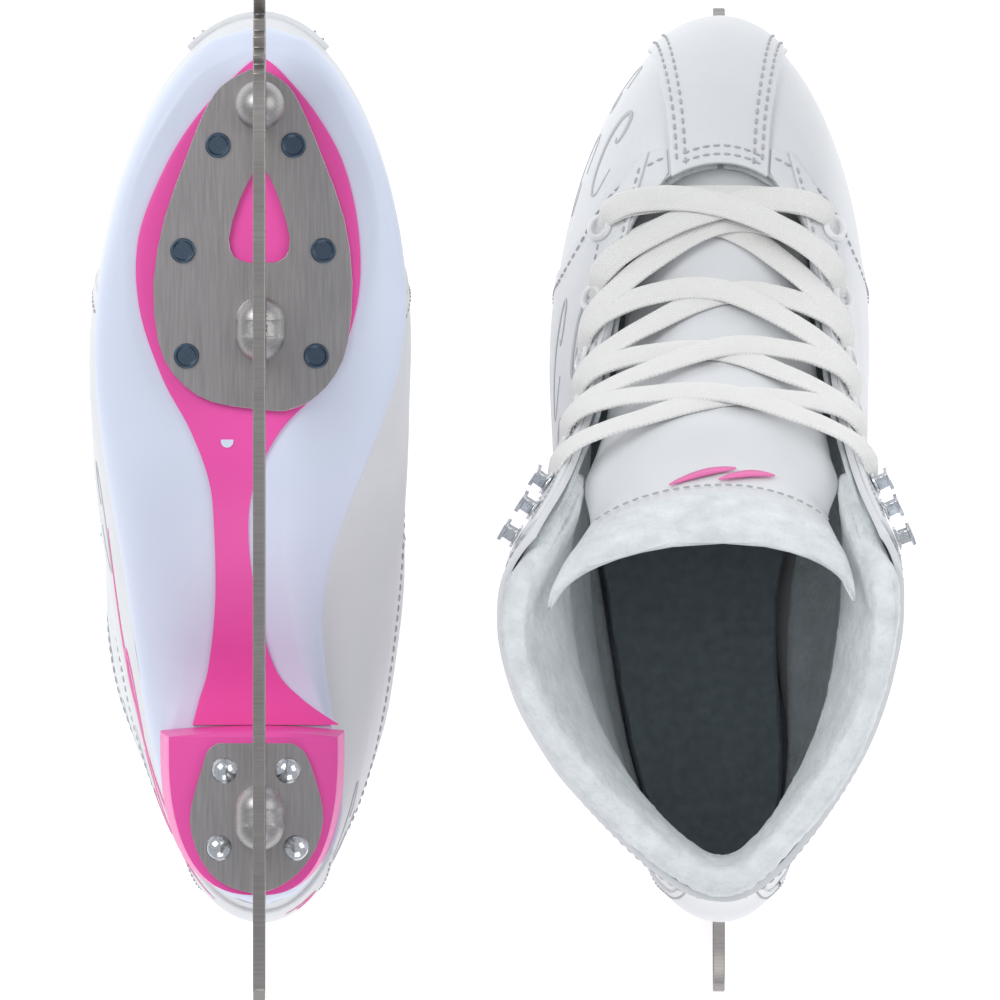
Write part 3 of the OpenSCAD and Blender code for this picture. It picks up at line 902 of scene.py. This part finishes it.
WALL = 0.22
for skate in SKATES:
    def sole(u, v, skate=skate):
        y, outer, inner = outline_row(RIM, v)
        side = 1 if u > 0.5 else -1
        edge = Vector((outer if side > 0 else -inner, y, sole_height(y)))
        s = min(max((y - HEEL_Y) / (TOE_Y - HEEL_Y), 0.0), 1.0)
        s = min(max(mix(s, v, 0.15 * abs(2 * v - 1) ** 6), 0), 1)
        s = 0.0 if v < 1e-6 else 1.0 if v > 1 - 1e-6 else s
        turn = math.degrees(math.acos(2 * s - 1)) * side
        top = skate.at(turn, 0, 2.7) + Vector((0, 0, 0.9))
        wall = (abs(2 * u - 1) - (1 - 2 * WALL)) / (2 * WALL)
        if wall <= 0:
            across = (u - WALL) / (1 - 2 * WALL)
            return Vector((mix(-inner, outer, across), y, edge.z))
        out, up = math.sin(wall * math.pi / 2) ** 0.9, 1 - math.cos(wall * math.pi / 2)
        point = edge.lerp(top, out)
        point.z = mix(edge.z, top.z, mix(up, wall, 0.35))
        return point
    body, _ = draped(100, 150, sole)
    bmesh.ops.remove_doubles(body, verts=body.verts, dist=0.01)
    bmesh.ops.holes_fill(body, edges=[e for e in body.edges if e.is_boundary], sides=0)
    piece = finish_piece(skate, "white_sole", body, [white_plastic], "white_sole", ["outsole"])

    def insert(u, v):
        y, outer, inner = outline_row(INSERT, v)
        return Vector((mix(-inner, outer, u), y, sole_height(y) - 1.0))
    strip, _ = draped(30, 120, insert)
    piece = finish_piece(skate, "pink_insert", strip, [pink_plastic], "pink_plastic", ["sole_insert"])
    thicken(piece, 0.9, 0.0003)

    dot = bmesh.new()
    bmesh.ops.create_circle(dot, cap_ends=True, segments=24, radius=1.8)
    bmesh.ops.bisect_plane(dot, geom=dot.verts[:] + dot.edges[:] + dot.faces[:], plane_co=(0, 0.5, 0),
                           plane_no=(0, 1, 0), clear_outer=True)
    lifted = bmesh.ops.extrude_face_region(dot, geom=dot.faces[:])["geom"]
    bmesh.ops.translate(dot, vec=(0, 0, 1.0), verts=[v for v in lifted if isinstance(v, bmesh.types.BMVert)])
    bmesh.ops.translate(dot, vec=(9.4, 16.7, sole_height(16.7) - 1.35), verts=dot.verts)
    bmesh.ops.recalc_face_normals(dot, faces=dot.faces)
    finish_piece(skate, "gate_mark", dot, [white_plastic], "white_sole", faces_out=True,
                 shade_smooth=False)

# %% [markdown]
# The heel is a solid pink block, straight in front and round behind, a little
# wider at the top. A circle is pressed into that D shape and extruded upwards.
# Each level is [height, outer half width, inner half width, front].

# %% Heel block
HEEL_LEVELS = [[44, 25.5, 22.6, -66], [58, 26.5, 23.2, -65.5], [70, 27.6, 24, -65],
               [76.6, 28.2, 24.4, -64.3]]
HEEL_MIDDLE = -72
HEEL_BACK = 40.5


def heel_outline(angle, outer, inner, front):
    """A D shape: half an oval behind HEEL_MIDDLE, and a slightly bowed front."""
    c, s = math.cos(angle), math.sin(angle)
    side = outer if c > 0 else inner
    if s < 0:
        return 0.5 + side * math.copysign(abs(c) ** 0.75, c), HEEL_MIDDLE - HEEL_BACK * abs(s) ** 0.9
    flat = math.copysign(min(1.0, abs(c) * 1.25) ** 0.8, c)
    lift = smooth(0, 0.45, s)
    return 0.5 + side * flat, mix(HEEL_MIDDLE, front - 1.5 * flat * flat, lift)


for skate in SKATES:
    block = bmesh.new()
    bmesh.ops.create_circle(block, cap_ends=False, segments=128, radius=1)
    angles = {v: math.atan2(v.co.y, v.co.x) for v in block.verts}
    ring = list(block.verts)
    for k, (z, outer, inner, front) in enumerate(HEEL_LEVELS):
        if k:
            made = bmesh.ops.extrude_edge_only(block, edges=rim)["geom"]
            fresh = [g for g in made if isinstance(g, bmesh.types.BMVert)]
            for vert in fresh:
                angles[vert] = min(((vert.co - o.co).length, angles[o]) for o in ring)[1]
            ring = fresh
        for vert in ring:
            vert.co = Vector((*heel_outline(angles[vert], outer, inner, front), z))
        rim = [e for e in block.edges if all(v in set(ring) for v in e.verts)]
    bmesh.ops.holes_fill(block, edges=[e for e in block.edges if e.is_boundary], sides=0)
    bmesh.ops.recalc_face_normals(block, faces=block.faces)
    piece = finish_piece(skate, "heel_block_pink", block, [pink_plastic], "pink_plastic", ["heel_block"],
                         faces_out=True)
    soften(piece, 0.0009, 3, 40)

# %% [markdown]
# The metal keeps the frame's exact shapes, but stamped plate and drawn tube have
# no knife edges. Each is copied, its loose triangles are merged, and its edges
# get a small bevel before it stands in for the frame's part. The two longer
# braces are pressed from one sheet, so the valley between their domes is filled.

# %% Metal
METAL = {
    "blade": (blade_steel, "blade_steel", 0.0003),
    "sole_plate": (plate_steel, "plate_steel", 0.0006),
    "heel_plate": (plate_steel, "plate_steel", 0.0006),
    "toe_stanchion": (bright_steel, "bright_steel", 0.0003),
    "ball_stanchion": (bright_steel, "bright_steel", 0.0003),
    "heel_stanchion": (bright_steel, "bright_steel", 0.0003),
    "sole_rivets": (dark_rivet, "dark_rivet", 0.0003),
    "heel_rivets": (zinc, "bright_rivet", 0.0003),
    "eyelets": (white_enamel, "white_enamel", 0.0001),
    "hooks": (zinc, "bright_rivet", 0.0004)}
BRACE_SPREAD = {"ball_stanchion": 2.2, "heel_stanchion": 2.35}


def pressed_round(bm, spread):
    """Fills the valley between the two domes of a brace, which are spread apart."""
    low, high = (Vector([pick(v.co[k] for v in bm.verts) for k in range(3)]) for pick in (min, max))
    radius = (high.x - low.x) / 2
    center = (low + high) / 2
    for vert in bm.verts:
        x, y = vert.co.x - center.x, vert.co.y - center.y
        z = vert.co.z - low.z - radius
        if abs(y) > spread or (z > 0 and abs(x) < radius / 3):
            continue
        if z > 0:
            vert.co.x = center.x + math.copysign(radius, x)
        elif abs(x) < radius / 3:
            vert.co.z = low.z + radius - math.sqrt(radius ** 2 - x ** 2)
        else:
            grow = radius / max(math.hypot(x, z), radius / 2)
            vert.co.x = center.x + x * grow
            vert.co.z = low.z + radius + z * grow


def softened(skate, part, material, slot, width):
    """A bevelled copy of a CAD node that stands in for it."""
    node = skate.side + "_" + part
    bm = bmesh.new()
    bm.from_mesh(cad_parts[node].data)
    bmesh.ops.remove_doubles(bm, verts=bm.verts, dist=1e-6)
    if part in BRACE_SPREAD:
        bmesh.ops.transform(bm, matrix=skate.matrix.inverted(), verts=bm.verts)
        pressed_round(bm, BRACE_SPREAD[part])
        bmesh.ops.transform(bm, matrix=skate.matrix, verts=bm.verts)
    bmesh.ops.dissolve_limit(bm, angle_limit=math.radians(1), verts=bm.verts, edges=bm.edges)
    for face in bm.faces:
        face.smooth = True
    for edge in bm.edges:
        edge.smooth = edge.calc_face_angle(0) < math.radians(35)
    mesh = bpy.data.meshes.new(node + "_metal")
    bm.to_mesh(mesh)
    bm.free()
    mesh.materials.append(material)
    piece = bpy.data.objects.new(mesh.name, mesh)
    bpy.context.collection.objects.link(piece)
    soften(piece, width, 2, 35)
    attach(piece, skate.body)
    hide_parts(node)
    return piece


for skate in SKATES:
    for part, (material, slot, width) in METAL.items():
        softened(skate, part, material, slot, width)
    for part, material in {"toe_puff": board, "heel_counter": board, "lasting_board": board,
                           "shank": plate_steel}.items():
        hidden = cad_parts[skate.side + "_" + part]
        hidden.data.materials.clear()
        hidden.data.materials.append(material)
